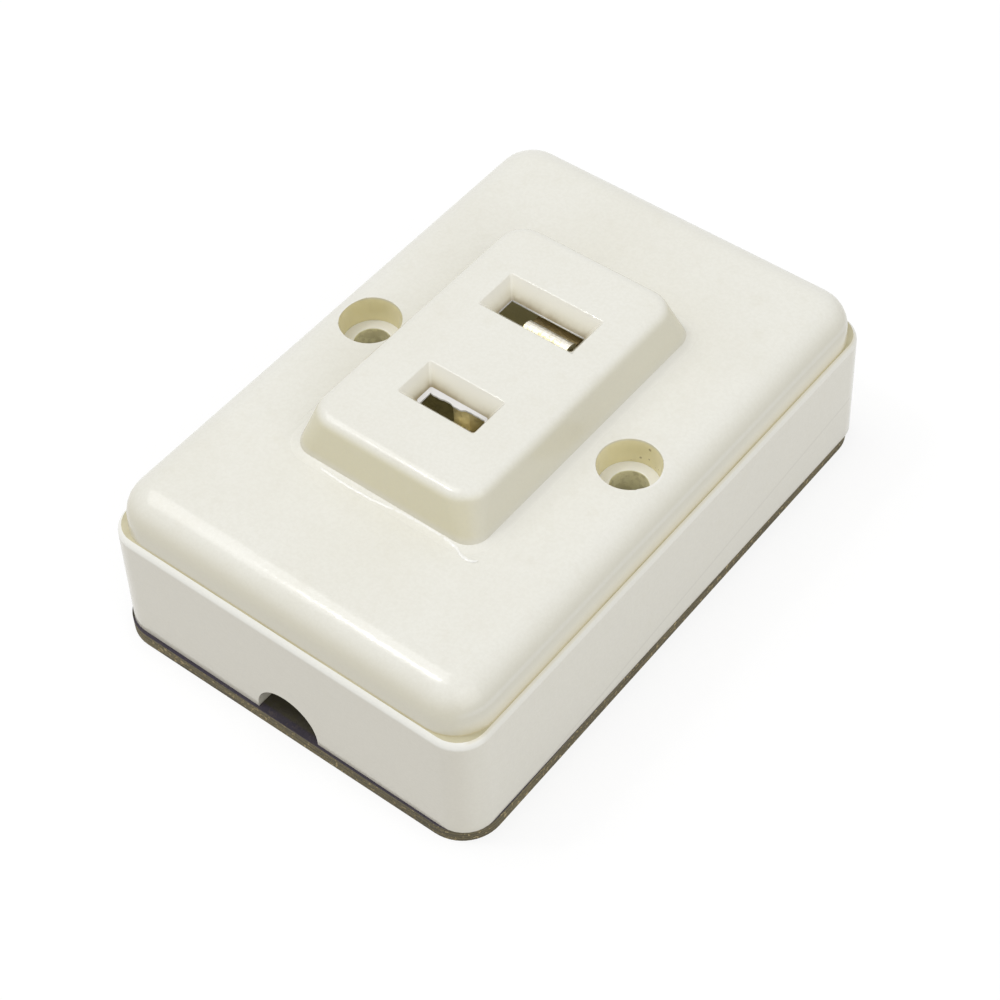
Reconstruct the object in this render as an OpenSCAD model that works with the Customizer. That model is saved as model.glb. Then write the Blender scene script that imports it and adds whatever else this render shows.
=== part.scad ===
// Surface mounted socket for two flat pins of different width.
// A one-piece moulded cover with a raised pin block closes over a fibre back plate.
// Each pole is a stiff brass jaw with a wire terminal and a thin spring leaf, both
// screwed to a boss under the roof of the cover.
// The back plate lies on the wall at z = 0, the pins enter along -Z, and the cable
// enters through the half-round notch at the -Y end.

/* [Back plate] */
// Thickness of the fibre back plate
plate_t = 1.8; // [1.2:0.1:3]
// How far the plate stands out past the foot of the cover
plate_lip = 0.3; // [0:0.02:0.6]
// Radius of the plate's corners
plate_corner_r = 4.8; // [3:0.1:8]
// How far the plate sits off centre to the left
plate_shift = 0.35; // [0:0.05:0.45]
// Turn of the plate under the cover, in degrees
plate_turn = 0.25; // [0:0.05:0.4]

/* [Cover box] */
// Width of the cover at its foot
cover_w = 50; // [46:0.5:64]
// Length of the cover at its foot
cover_l = 74; // [70:0.5:96]
// Height of the shoulder above the wall
shoulder_z = 16.9; // [15:0.1:22]
// Radius of the cover's upright corners
corner_r = 3.8; // [3:0.1:6]
// Thickness of the side walls
wall_t = 2; // [1.6:0.1:2.6]
// Lean of the side walls, in mm for each mm of height
side_draft = 0.016; // [0.005:0.001:0.03]
// Radius of the round along the shoulder
rim_r = 1; // [0.6:0.05:1.4]

/* [Raised panel] */
// Inward step from the shoulder to the panel
step_w = 0.55; // [0.5:0.05:1.5]
// Height of the panel's flat top above the wall
panel_z = 22.45; // [21.8:0.05:28]
// Radius of the panel's upright corners at its foot
panel_corner_r = 4.8; // [4.6:0.1:7]
// Radius of the round along the panel's top edge
panel_edge_r = 4.1; // [2.4:0.1:4.3]
// Lean of the panel's sides, in mm for each mm of height
panel_draft = 0.033; // [0.01:0.001:0.06]
// Thickness of the roof
roof_t = 2; // [1.6:0.1:2.6]

/* [Pin block] */
// Width of the block at its foot
block_w = 24.9; // [23:0.1:27]
// Length of the block at its foot
block_l = 39.2; // [37:0.1:44]
// Sideways place of the block's middle
block_x = -0.17; // [-0.3:0.01:0.3]
// Lengthwise place of the block's middle
block_y = 0.24; // [-0.5:0.01:0.5]
// Height of the block above the panel
block_h = 5.3; // [4:0.1:7]
// Radius of the block's upright corners at its foot
block_corner_r = 2.5; // [2:0.1:4]
// Radius of the block's upright corners under its rounded top edge
block_top_corner_r = 3.4; // [2.6:0.1:4.4]
// Lean of the block's sides, in mm for each mm of height
block_draft = 0.285; // [0.05:0.005:0.32]
// Radius of the round along the block's top edge
block_edge_r = 1.6; // [0.4:0.05:2]
// Width of the shallow hollow round the block's foot
apron_w = 1.6; // [0.6:0.05:1.7]
// Slope of that hollow where it meets the block, in degrees
apron_angle = 14; // [4:1:20]
// Thickness of the block's top
block_roof_t = 2.25; // [1.8:0.05:3]

/* [Pin slots] */
// Distance of the wide slot from the middle
wide_slot_y = 8.06; // [7.5:0.02:9]
// Distance of the narrow slot from the middle
narrow_slot_y = 7.36; // [6.8:0.02:8.5]
// Length of the wide slot's mouth
wide_mouth_l = 12.7; // [11.5:0.1:14]
// Width of the wide slot's mouth
wide_mouth_w = 5.88; // [4.6:0.02:6.4]
// Length of the wide slot at the bottom of its funnel
wide_neck_l = 10; // [9:0.1:11]
// Length of the narrow slot's mouth
narrow_mouth_l = 10.3; // [9:0.1:12]
// Width of the narrow slot's mouth
narrow_mouth_w = 5.5; // [4.6:0.02:6]
// Length of the narrow slot at the bottom of its funnel
narrow_neck_l = 7.8; // [7:0.1:8.6]
// Width of both slots at the bottom of their funnels
neck_w = 2.5; // [2.2:0.05:3]
// Thickness left under the funnels
land_t = 0.22; // [0.15:0.01:0.6]
// Width of the sill along the inner side of the narrow slot
sill_w = 0.65; // [0.2:0.05:0.9]
// Width of the sill at the left end of the narrow slot
sill_end = 0.5; // [0.2:0.05:1]

/* [Wall screw holes] */
// Distance between the two wall screw holes
wall_pitch = 35.64; // [34:0.02:37]
// Radius of the wall screw holes
wall_hole_r = 2.15; // [1.8:0.05:2.4]
// Radius of the counterbores at the panel
head_hole_r = 3.57; // [3.2:0.01:3.9]
// Depth of the counterbores
head_hole_depth = 3.85; // [3:0.05:5]
// Lean of the counterbores' walls, in mm for each mm of depth
head_hole_draft = 0.03; // [0:0.005:0.06]
// Thickness of the wall round the counterbores
post_wall = 1.3; // [1:0.05:1.6]
// Thickness of the floor under the screw heads
head_floor_t = 1.6; // [1.2:0.1:2.4]
// Radius of the posts where they stand on the plate
post_foot_r = 3.7; // [3.2:0.1:4.4]
// Room between the screws and the holes of the back plate
plate_hole_gap = 0.35; // [0.1:0.05:0.8]

/* [Cable entry] */
// Half width of the cable notch
notch_r = 4.2; // [3:0.05:5]
// Height of the notch above the back plate
notch_h = 4.62; // [4.5:0.02:7]

/* [Contacts] */
// Sideways place of both contacts
contact_x = 1.2; // [0:0.1:1.5]
// Thickness of a plug's flat pins
pin_t = 1.6; // [1.2:0.1:1.8]
// Room between a pin and the stiff jaw
pin_gap = 0.05; // [0:0.01:0.15]
// Thickness of the stiff brass jaws
jaw_t = 1; // [0.8:0.05:1.3]
// Thickness of the spring leaves
leaf_t = 0.5; // [0.35:0.05:0.7]
// Gap between a leaf and its jaw with no plug in
leaf_gap = 0.3; // [0.1:0.05:0.6]
// Outer radius of the rolled lip on the leaves
lip_r = 0.95; // [0.7:0.05:1.05]
// How far a leaf leans away from its jaw at its foot
leaf_lean = 0.8; // [0.2:0.1:1.2]
// Width of the wide contact
wide_contact_w = 6; // [4.6:0.1:7]
// Width of the narrow contact
narrow_contact_w = 4.2; // [3.4:0.1:5]
// How far the narrow jaw's blade sits to the right of its tail's middle
narrow_shift = 0.3; // [0:0.05:0.5]
// Height of the bosses' ends above the wall, where the contacts seat
seat_z = 14; // [13:0.1:15]
// Gap between the top of the wide jaw and the block's roof
wide_jaw_drop = 0.9; // [0.3:0.1:2]
// Gap between the top of the narrow jaw and the block's roof
narrow_jaw_drop = 0.2; // [0.1:0.05:2]
// Gap between the wide leaf's lip and the block's roof
wide_leaf_drop = 0.1; // [0.05:0.05:2]
// Gap between the narrow leaf's lip and the block's roof
narrow_leaf_drop = 2.4; // [1:0.1:4]
// Width of the folded wing on the narrow jaw
wing_w = 2; // [1:0.1:3]
// Fold of the narrow jaw's wing, in degrees
wing_angle = 32; // [10:1:45]
// Inner radius of the bends in the brass strips
bend_r = 0.4; // [0.2:0.05:0.8]
// Width of the jaws' terminal tails
tail_w = 7; // [6.6:0.1:8]

/* [Terminals] */
// Distance from a slot to the screw that holds its contact
fix_off = 6.4; // [6.2:0.1:7]
// Distance from a slot to its terminal screw
term_off = 13.6; // [13:0.1:15]
// Shank radius of the screws that hold the contacts
fix_screw_r = 1.3; // [1.1:0.05:1.5]
// Head radius of the screws that hold the contacts
fix_head_r = 2.5; // [2.2:0.05:2.8]
// Head height of the screws that hold the contacts
fix_head_h = 1.5; // [1:0.1:2]
// Length of the contact screws under their heads
fix_screw_l = 8.5; // [6:0.1:9.5]
// Radius of the bosses that carry the contacts
fix_boss_r = 3; // [2.6:0.05:3.3]
// Shank radius of the terminal screws
term_screw_r = 1.5; // [1.2:0.05:1.7]
// Head radius of the terminal screws
term_head_r = 2.8; // [2.4:0.05:3]
// Head height of the terminal screws
term_head_h = 1.9; // [1.4:0.1:2.4]
// Length of the terminal screws under their heads
term_screw_l = 7; // [5:0.1:8]
// Radius of the hollow bosses over the terminal screws
term_boss_r = 3.3; // [3:0.05:3.6]
// Side of the square clamp washers
washer_w = 6.4; // [5.8:0.1:6.6]
// Thickness of the clamp washers
washer_t = 0.9; // [0.6:0.05:1.2]
// Width of the screwdriver slots
driver_w = 0.8; // [0.6:0.05:1]
// Depth of the screwdriver slots
driver_depth = 0.8; // [0.5:0.05:1]
// Room between a screw and the hole that it passes through
screw_gap = 0.2; // [0.1:0.05:0.3]
// Room between a screw's thread and the hole that it is driven into
thread_gap = 0.04; // [0.02:0.01:0.08]

/* [Back plate screws] */
// Sideways distance of the plate's screws from the middle
plate_screw_x = 14; // [12:0.1:16]
// Distance of the plate's screws from the cover's ends
plate_screw_end = 6.5; // [6:0.1:8]
// Shank radius of the plate's screws
plate_screw_r = 1.2; // [1:0.05:1.4]
// Head radius of the plate's screws
plate_head_r = 2.4; // [2.1:0.05:2.6]
// Length of the plate's screws
plate_screw_l = 9; // [7:0.5:12]
// Radius of the bosses that take the plate's screws
plate_boss_r = 2.9; // [2.6:0.05:3.2]
// Thickness of the ribs
rib_t = 1.2; // [0.9:0.1:1.6]
// How far the ribs end short of the pieces that the bosses carry
rib_rise = 1; // [0.5:0.1:2]

/* [Hidden] */

corner_steps = 8;
round_steps = 6;
edge_steps = 10;
apron_steps = 3;
roll_steps = 14;
bore_fn = 48;
// How far a cutter runs on past the face that it opens
past = 1;
// How far two shapes of one piece run into each other
lap = 0.4;
funnel_lap = 0.01;
// Radius of the corners of the funnels, of the block's hollow and of the stamped strips
funnel_r = 0.3;
hollow_r = 1.4;
tail_corner_r = 1.2;
washer_corner_r = 0.8;
// Distance from the bend of a jaw to its wide tail, and from its terminal to its end
tail_neck = 1;
tail_margin = 0.6;
// Height over the bosses' ends at which the narrow jaw's wing starts
wing_foot = 1.5;
// First and last angle of the rolled lips
lip_from = -15;
lip_to = 215;
// Room over the ends of the terminal screws
pilot_spare = 1.5;
// Bevel on the screws, and length and end radius of the points of the plate's screws
screw_bevel = 0.3;
point_l = 1.5;
point_r = 0.3;

block_c = [block_x, block_y];
block_z = panel_z + block_h;
block_roof_z = block_z - block_roof_t;
roof_z = panel_z - roof_t;
neck_z = block_roof_z + land_t;

// The round on the shoulder ends just short of the panel's foot
rim_in = step_w - 0.1;
rim_end = acos(1 - min(rim_in, rim_r) / rim_r);
rim_foot_z = shoulder_z - rim_r * sin(rim_end);

// Place of the jaws' tails and of the leaves' tails under the bosses
wide_jaw_z = seat_z - jaw_t;
wide_leaf_z = wide_jaw_z - leaf_t;
narrow_leaf_z = seat_z - leaf_t;
narrow_jaw_z = narrow_leaf_z - jaw_t;
jaw_off = pin_t / 2 + pin_gap;
tail_end_off = term_off + washer_w / 2 + tail_margin;
leaf_end_off = fix_off + fix_boss_r;
term_pilot = term_screw_l - washer_t - jaw_t + pilot_spare;

// Places of the bosses for the contacts, the terminals and the plate's screws
wide_fix_y = wide_slot_y + fix_off;
narrow_fix_y = -narrow_slot_y - fix_off;
wide_term_y = wide_slot_y + term_off;
narrow_term_y = -narrow_slot_y - term_off;
plate_screw_y = cover_l / 2 - plate_screw_end;

cream = [0.93, 0.92, 0.86];
fibre = [0.24, 0.19, 0.13];
brass = [0.78, 0.66, 0.36];
steel = [0.74, 0.74, 0.72];

// One level of a rounded box: half sizes, corner radius, height and middle
function level(hx, hy, r, z, c = [0, 0]) = [
    for (q = [0:3]) let (sx = [1, -1, -1, 1][q], sy = [1, 1, -1, -1][q])
        for (i = [0:corner_steps]) let (a = 90 * q + 90 * i / corner_steps)
            [c[0] + sx * (hx - r) + r * cos(a), c[1] + sy * (hy - r) + r * sin(a), z]
];

// A closed solid through a list of levels, from the lowest to the highest
module loft(levels) {
    n = len(levels[0]);
    m = len(levels);
    points = [for (one = levels) for (p = one) p];
    sides = [for (k = [0:m - 2]) for (i = [0:n - 1]) let (j = (i + 1) % n)
        each [
            [k * n + i, (k + 1) * n + j, k * n + j],
            [k * n + i, (k + 1) * n + i, (k + 1) * n + j]
        ]
    ];
    foot = [for (i = [0:n - 1]) i];
    top = [for (i = [n - 1:-1:0]) (m - 1) * n + i];
    polyhedron(points, concat([foot], sides, [top]), convexity = 6);
}

// Levels of the box and the panel above it, drawn in by a wall where it is a cavity.
// The lowest level lies at z = foot.
function shell_levels(in, top, foot) = let (
    edge_r = max(panel_edge_r - in, 0.3),
    side = function(z) side_draft * (z - plate_t) + in,
    hx = cover_w / 2,
    hy = cover_l / 2,
    low_r = max(corner_r - in, 0.6),
    rim_top = side(shoulder_z) + step_w,
    panel_side = function(z) rim_top + panel_draft * (z - shoulder_z),
    high_r = max(panel_corner_r - in, 1),
    edge_z = top - edge_r,
    edge_in = panel_side(edge_z)
) concat(
    [level(hx - side(foot), hy - side(foot), low_r, foot)],
    [for (i = [0:round_steps]) let (
        a = rim_end * i / round_steps,
        drawn = rim_r * (1 - cos(a)),
        z = rim_foot_z + rim_r * sin(a) - in,
        s = side(z) + drawn
    ) level(hx - s, hy - s, max(low_r - drawn, 0.5), z)],
    [level(hx - rim_top, hy - rim_top, high_r, shoulder_z - in)],
    [for (i = [0:edge_steps]) let (
        a = 90 * i / edge_steps,
        drawn = edge_r * (1 - cos(a)),
        s = edge_in + drawn
    ) level(hx - s, hy - s, max(high_r - drawn, 0.5), edge_z + edge_r * sin(a))]
);

// Levels of the pin block on the panel: a shallow hollow, the side and the rounded top
function block_levels() = let (
    lean = atan(block_draft),
    hx = block_w / 2,
    hy = block_l / 2,
    apron_r = apron_w / sin(apron_angle),
    foot_z = panel_z + apron_r * (1 - cos(apron_angle)),
    edge_z = block_z - block_edge_r,
    turn_z = edge_z + block_edge_r * sin(lean),
    turn_in = block_draft * (turn_z - foot_z)
) concat(
    [for (i = [0:apron_steps]) let (
        a = apron_angle * i / apron_steps,
        out = apron_w - apron_r * sin(a)
    ) level(hx + out, hy + out, block_corner_r + out, panel_z + apron_r * (1 - cos(a)), block_c)],
    [for (i = [0:round_steps]) let (
        a = lean + (90 - lean) * i / round_steps,
        drawn = block_edge_r * (cos(lean) - cos(a)),
        s = turn_in + drawn
    ) level(hx - s, hy - s, max(block_top_corner_r - drawn, 0.5),
            edge_z + block_edge_r * sin(a), block_c)]
);

// The hollow inside the pin block
module block_hollow() {
    rise = block_roof_z - roof_z;
    foot_in = wall_t + block_draft * (roof_z - panel_z);
    top_in = foot_in + block_draft * rise;
    loft([
        level(block_w / 2 - foot_in, block_l / 2 - foot_in, hollow_r, roof_z - lap, block_c),
        level(block_w / 2 - foot_in, block_l / 2 - foot_in, hollow_r, roof_z, block_c),
        level(block_w / 2 - top_in, block_l / 2 - top_in, hollow_r, block_roof_z, block_c)
    ]);
}

// A funnel that narrows from the mouth to the neck
module funnel(mouth_l, mouth_w, neck_l, depth) {
    mouth = [mouth_l / 2, mouth_w / 2];
    neck = [neck_l / 2, neck_w / 2];
    reach = (depth + past) / depth;
    open = neck + (mouth - neck) * reach;
    loft([
        level(neck[0], neck[1], funnel_r, 0),
        level(open[0], open[1], funnel_r, depth * reach)
    ]);
}

module wide_slot() {
    translate([0, wide_slot_y, neck_z])
        funnel(wide_mouth_l, wide_mouth_w, wide_neck_l, block_z - neck_z);
    translate([-wide_neck_l / 2, wide_slot_y - neck_w / 2, block_roof_z - past])
        cube([wide_neck_l, neck_w, past + land_t + funnel_lap]);
}

// The narrow slot keeps a thin sill along its inner side and its left end
module narrow_slot() {
    translate([0, -narrow_slot_y, neck_z])
        funnel(narrow_mouth_l, narrow_mouth_w, narrow_neck_l, block_z - neck_z);
    translate([sill_end - narrow_neck_l / 2, -narrow_slot_y - neck_w / 2, block_roof_z - past])
        cube([narrow_neck_l - sill_end, neck_w - sill_w, past + land_t + funnel_lap]);
}

// A post round one wall screw: slim where it stands on the plate, wider round the head
module wall_post() {
    head_z = panel_z - head_hole_depth;
    head_r = head_hole_r + post_wall;
    cone_z = head_z - head_floor_t;
    rotate_extrude($fn = bore_fn)
        polygon([
            [0, plate_t], [post_foot_r, plate_t],
            [post_foot_r, cone_z - abs(head_r - post_foot_r)],
            [head_r, cone_z], [head_r, roof_z + past], [0, roof_z + past]
        ]);
}

module wall_bore() {
    head_z = panel_z - head_hole_depth;
    floor_r = head_hole_r - head_hole_draft * head_hole_depth;
    rise = head_hole_depth + past;
    translate([0, 0, plate_t - past])
        cylinder(r = wall_hole_r, h = head_z - plate_t + 2 * past, $fn = bore_fn);
    translate([0, 0, head_z])
        cylinder(r1 = floor_r, r2 = floor_r + head_hole_draft * rise, h = rise, $fn = bore_fn);
}

// Half-round notch over the back plate, cut through the end wall
module cable_notch() {
    translate([0, wall_t + past - cover_l / 2, plate_t]) rotate([90, 0, 0])
        linear_extrude(wall_t + 2 * past) union() {
            translate([0, notch_h - notch_r]) circle(r = notch_r, $fn = bore_fn);
            translate([-notch_r, -past]) square([2 * notch_r, notch_h - notch_r + past]);
        }
}

// A boss that hangs from the roof down to height z
module boss(x, y, r, z, top) {
    translate([x, y, z]) cylinder(r = r, h = top - z, $fn = bore_fn);
}

module drilled(x, y, r, z, depth) {
    translate([x, y, z - past]) cylinder(r = r, h = depth + past, $fn = bore_fn);
}

// Ribs tie the contact bosses to the block's sides and the posts to the cover's walls
module ribs() {
    for (y = [wide_fix_y, narrow_fix_y])
        translate([-block_w / 2, y - rib_t / 2, seat_z + rib_rise])
            cube([block_w, rib_t, block_roof_z - seat_z]);
    reach = (cover_w - wall_pitch) / 2;
    for (s = [-1, 1])
        translate([s * (wall_pitch + reach) / 2 - reach / 2, -rib_t / 2, plate_t + 2 * rib_rise])
            cube([reach, rib_t, roof_z - plate_t]);
    for (s = [-1, 1])
        translate([-s * plate_screw_x - rib_t / 2,
                   s * (cover_l - plate_screw_end) / 2 - plate_screw_end / 2,
                   plate_t + 3 * rib_rise])
            cube([rib_t, plate_screw_end, roof_z - plate_t]);
}

// What stands in the hollow of the cover
module standing() {
    for (s = [-1, 1]) translate([s * wall_pitch / 2, 0, 0]) wall_post();
    boss(contact_x, wide_fix_y, fix_boss_r, seat_z, block_z);
    boss(contact_x, narrow_fix_y, fix_boss_r, seat_z, block_z);
    boss(contact_x, wide_term_y, term_boss_r, seat_z, panel_z);
    boss(contact_x, narrow_term_y, term_boss_r, narrow_leaf_z, panel_z);
    for (s = [-1, 1])
        boss(-s * plate_screw_x, s * plate_screw_y, plate_boss_r, plate_t, panel_z);
    ribs();
}

module cover() {
    color(cream) difference() {
        loft(concat(shell_levels(0, panel_z, plate_t), block_levels()));
        difference() {
            union() {
                loft(shell_levels(wall_t, roof_z, plate_t - past));
                block_hollow();
            }
            standing();
        }
        for (s = [-1, 1]) translate([s * wall_pitch / 2, 0, 0]) wall_bore();
        wide_slot();
        narrow_slot();
        cable_notch();
        for (y = [wide_fix_y, narrow_fix_y])
            drilled(contact_x, y, fix_screw_r + thread_gap, seat_z, fix_screw_l);
        drilled(contact_x, wide_term_y, term_screw_r + screw_gap, seat_z, term_pilot);
        drilled(contact_x, narrow_term_y, term_screw_r + screw_gap, narrow_leaf_z, term_pilot);
        for (s = [-1, 1])
            drilled(-s * plate_screw_x, s * plate_screw_y, plate_screw_r + thread_gap,
                    plate_t, plate_screw_l);
    }
}

module rounded_sheet(w, l, r, t) {
    linear_extrude(t) union() {
        square([w - 2 * r, l], center = true);
        square([w, l - 2 * r], center = true);
        for (sx = [-1, 1], sy = [-1, 1])
            translate([sx * (w / 2 - r), sy * (l / 2 - r)]) circle(r = r, $fn = bore_fn);
    }
}

module back_plate() {
    hole_r = wall_hole_r + plate_hole_gap;
    color(fibre) difference() {
        translate([-plate_shift, 0, 0]) rotate([0, 0, plate_turn])
            rounded_sheet(cover_w + 2 * plate_lip, cover_l + 2 * plate_lip,
                          plate_corner_r, plate_t);
        for (s = [-1, 1])
            translate([s * wall_pitch / 2, 0, -past])
                cylinder(r = hole_r, h = plate_t + 2 * past, $fn = bore_fn);
        for (s = [-1, 1])
            translate([-s * plate_screw_x, s * plate_screw_y, 0]) countersink();
    }
}

// The hole for one of the plate's screws: a cone for the head and a plain bore above it
module countersink() {
    sink = plate_head_r - plate_screw_r;
    wide = plate_head_r + thread_gap;
    rotate_extrude($fn = bore_fn)
        polygon([
            [0, -past], [wide + past, -past], [wide, 0], [wide - sink, sink],
            [wide - sink, plate_t + past], [0, plate_t + past]
        ]);
}

module plate_screw(s) {
    sink = plate_head_r - plate_screw_r;
    color(steel) translate([-s * plate_screw_x, s * plate_screw_y, 0])
        difference() {
            rotate_extrude($fn = bore_fn)
                polygon([
                    [0, 0], [plate_head_r, 0], [plate_screw_r, sink],
                    [plate_screw_r, plate_screw_l - point_l],
                    [point_r, plate_screw_l], [0, plate_screw_l]
                ]);
            translate([-plate_head_r - past, -driver_w / 2, -past])
                cube([2 * (plate_head_r + past), driver_w, past + driver_depth]);
        }
}

// Outline of a strip of thickness t that follows a line of points
function strip(path, t) = let (
    n = len(path),
    heading = function(i) let (
        d = path[min(i + 1, n - 1)] - path[max(i - 1, 0)]
    ) d / norm(d)
) concat(
    [for (i = [0:n - 1]) path[i] + t / 2 * [-heading(i)[1], heading(i)[0]]],
    [for (i = [n - 1:-1:0]) path[i] - t / 2 * [-heading(i)[1], heading(i)[0]]]
);

function arc(c, r, from, to, steps) = [
    for (i = [0:steps]) let (a = from + (to - from) * i / steps) c + r * [cos(a), sin(a)]
];

// Stands a flat outline up: its first axis becomes +Y or -Y, its second +Z, w wide along X
module upright(outline, w, side, shift) {
    flip = side > 0 ? 0 : 1;
    translate([contact_x + shift, 0, 0]) mirror([0, flip, 0])
        translate([w / 2, 0, 0]) rotate([0, -90, 0]) mirror([1, -1, 0])
            linear_extrude(w) polygon(outline);
}

// Distance at which the wide tail of a jaw starts, past the bend and the neck
function tail_from(d, back) = d + (1 + back) * jaw_t / 2 + bend_r + tail_neck;

// An L-shaped jaw: upright from the tail at height z to the top, face at distance d
module jaw_strip(d, back, z, top, w, side, shift) {
    mid = d + back * jaw_t / 2;
    r = bend_r + jaw_t / 2;
    path = concat(
        [[mid, top]],
        arc([mid + r, z + jaw_t / 2 + r], r, 180, 270, round_steps),
        [[tail_from(d, back) + lap, z + jaw_t / 2]]
    );
    upright(strip(path, jaw_t), w, side, shift);
}

// The flat end of a jaw with the hole for its fixing screw and the terminal's tapped hole
module jaw_tail(slot_y, d, back, z, side) {
    from = tail_from(d, back);
    to = slot_y + tail_end_off;
    translate([contact_x, side * (from + to) / 2, z])
        rounded_sheet(tail_w, to - from, tail_corner_r, jaw_t);
}

module jaw_holes(slot_y, z, side) {
    translate([contact_x, side * (slot_y + fix_off), z - past])
        cylinder(r = fix_screw_r + screw_gap, h = jaw_t + 2 * past, $fn = bore_fn);
    translate([contact_x, side * (slot_y + term_off), z - past])
        cylinder(r = term_screw_r + thread_gap, h = jaw_t + 2 * past, $fn = bore_fn);
}

module wide_jaw() {
    top = block_roof_z - wide_jaw_drop;
    color(brass) difference() {
        union() {
            jaw_strip(wide_slot_y + jaw_off, 1, wide_jaw_z, top, wide_contact_w, 1, 0);
            jaw_tail(wide_slot_y, wide_slot_y + jaw_off, 1, wide_jaw_z, 1);
        }
        jaw_holes(wide_slot_y, wide_jaw_z, 1);
    }
}

// The narrow jaw stands on the inner side of its slot and has a wing folded back
module narrow_jaw() {
    top = block_roof_z - narrow_jaw_drop;
    edge = contact_x + narrow_shift + narrow_contact_w / 2 - wing_w;
    face = narrow_slot_y - jaw_off;
    foot = seat_z + wing_foot;
    tip = wing_w * [1, tan(wing_angle)];
    color(brass) difference() {
        union() {
            difference() {
                jaw_strip(face, -1, narrow_jaw_z, top, narrow_contact_w, -1, narrow_shift);
                translate([edge, -face - past, foot])
                    cube([wing_w + past, jaw_t + 2 * past, top - seat_z]);
            }
            translate([edge, -face, foot - lap]) linear_extrude(top - foot + lap)
                polygon([
                    [-lap, 0], [0, 0], tip,
                    tip + jaw_t * [-sin(wing_angle), cos(wing_angle)],
                    [jaw_t * -tan(wing_angle / 2), jaw_t], [-lap, jaw_t]
                ]);
            jaw_tail(narrow_slot_y, face, -1, narrow_jaw_z, -1);
        }
        jaw_holes(narrow_slot_y, narrow_jaw_z, -1);
    }
}

// A spring leaf: flat tail, bend, leaning blade and rolled lip.
// Its face stands at distance d; to_jaw is 1 where the jaw lies further out, else -1.
module leaf(slot_y, d, z, top, w, to_jaw, side) {
    mid = d - to_jaw * leaf_t / 2;
    foot = mid - to_jaw * leaf_lean;
    r = bend_r + leaf_t / 2;
    lip = lip_r - leaf_t / 2;
    lip_c = [mid - to_jaw * lip, top - lip_r];
    low = z + leaf_t / 2;
    roll = [for (i = [0:roll_steps]) let (a = lip_from + (lip_to - lip_from) * i / roll_steps)
        lip_c + lip * [to_jaw * cos(a), sin(a)]];
    path = concat(
        [[slot_y + leaf_end_off, low]],
        arc([foot + r, low + r], r, 270, 180, round_steps),
        roll
    );
    color(brass) difference() {
        upright(strip(path, leaf_t), w, side, 0);
        translate([contact_x, side * (slot_y + fix_off), z - past])
            cylinder(r = fix_screw_r + screw_gap, h = leaf_t + 2 * past, $fn = bore_fn);
    }
}

module wide_leaf()
    leaf(wide_slot_y, wide_slot_y + jaw_off - leaf_gap, wide_leaf_z,
         block_roof_z - wide_leaf_drop, wide_contact_w, 1, 1);

module narrow_leaf()
    leaf(narrow_slot_y, narrow_slot_y - jaw_off + leaf_gap, narrow_leaf_z,
         block_roof_z - narrow_leaf_drop, narrow_contact_w, -1, -1);

// A slotted screw with its head down, seated at height z
module slotted_screw(x, y, z, shank_r, length, head_r, head_h) {
    color(brass) translate([x, y, z]) difference() {
        rotate_extrude($fn = bore_fn)
            polygon([
                [0, -head_h], [head_r - screw_bevel, -head_h], [head_r, screw_bevel - head_h],
                [head_r, 0], [shank_r, 0], [shank_r, length - screw_bevel],
                [shank_r - screw_bevel, length], [0, length]
            ]);
        translate([-head_r - past, -driver_w / 2, -head_h - past])
            cube([2 * (head_r + past), driver_w, past + driver_depth]);
    }
}

module fixing_screw(slot_y, z, side)
    slotted_screw(contact_x, side * (slot_y + fix_off), z, fix_screw_r,
                  fix_screw_l - jaw_t - leaf_t, fix_head_r, fix_head_h);

module terminal_screw(slot_y, z, side)
    slotted_screw(contact_x, side * (slot_y + term_off), z - washer_t, term_screw_r,
                  term_screw_l, term_head_r, term_head_h);

module clamp_washer(slot_y, z, side) {
    color(steel) translate([contact_x, side * (slot_y + term_off), z - washer_t])
        difference() {
            rounded_sheet(washer_w, washer_w, washer_corner_r, washer_t);
            translate([0, 0, -past])
                cylinder(r = term_screw_r + screw_gap, h = washer_t + 2 * past, $fn = bore_fn);
        }
}

cover();
back_plate();
plate_screw(1);  // plate_screw_far
plate_screw(-1);  // plate_screw_near
wide_jaw();
narrow_jaw();
wide_leaf();
narrow_leaf();
fixing_screw(wide_slot_y, wide_leaf_z, 1);  // wide_fixing_screw
fixing_screw(narrow_slot_y, narrow_jaw_z, -1);  // narrow_fixing_screw
terminal_screw(wide_slot_y, wide_jaw_z, 1);  // wide_terminal_screw
terminal_screw(narrow_slot_y, narrow_jaw_z, -1);  // narrow_terminal_screw
clamp_washer(wide_slot_y, wide_jaw_z, 1);  // wide_clamp_washer
clamp_washer(narrow_slot_y, narrow_jaw_z, -1);  // narrow_clamp_washer
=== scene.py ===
import bpy
import bmesh
import math
from mathutils import Matrix, Vector, noise


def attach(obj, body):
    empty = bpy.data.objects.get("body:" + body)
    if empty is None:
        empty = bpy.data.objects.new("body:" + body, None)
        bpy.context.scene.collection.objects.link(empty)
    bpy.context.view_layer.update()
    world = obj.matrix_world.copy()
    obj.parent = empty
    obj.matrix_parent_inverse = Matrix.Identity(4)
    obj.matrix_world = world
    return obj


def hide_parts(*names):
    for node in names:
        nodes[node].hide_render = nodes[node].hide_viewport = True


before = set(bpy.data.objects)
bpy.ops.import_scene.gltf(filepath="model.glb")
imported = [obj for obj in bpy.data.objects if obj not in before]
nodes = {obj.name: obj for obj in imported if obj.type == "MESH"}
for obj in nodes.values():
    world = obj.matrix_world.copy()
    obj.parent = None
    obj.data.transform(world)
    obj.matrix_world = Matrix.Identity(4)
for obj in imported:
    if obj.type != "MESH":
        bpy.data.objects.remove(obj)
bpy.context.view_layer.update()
MM = 0.001
scene = bpy.context.scene

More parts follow.
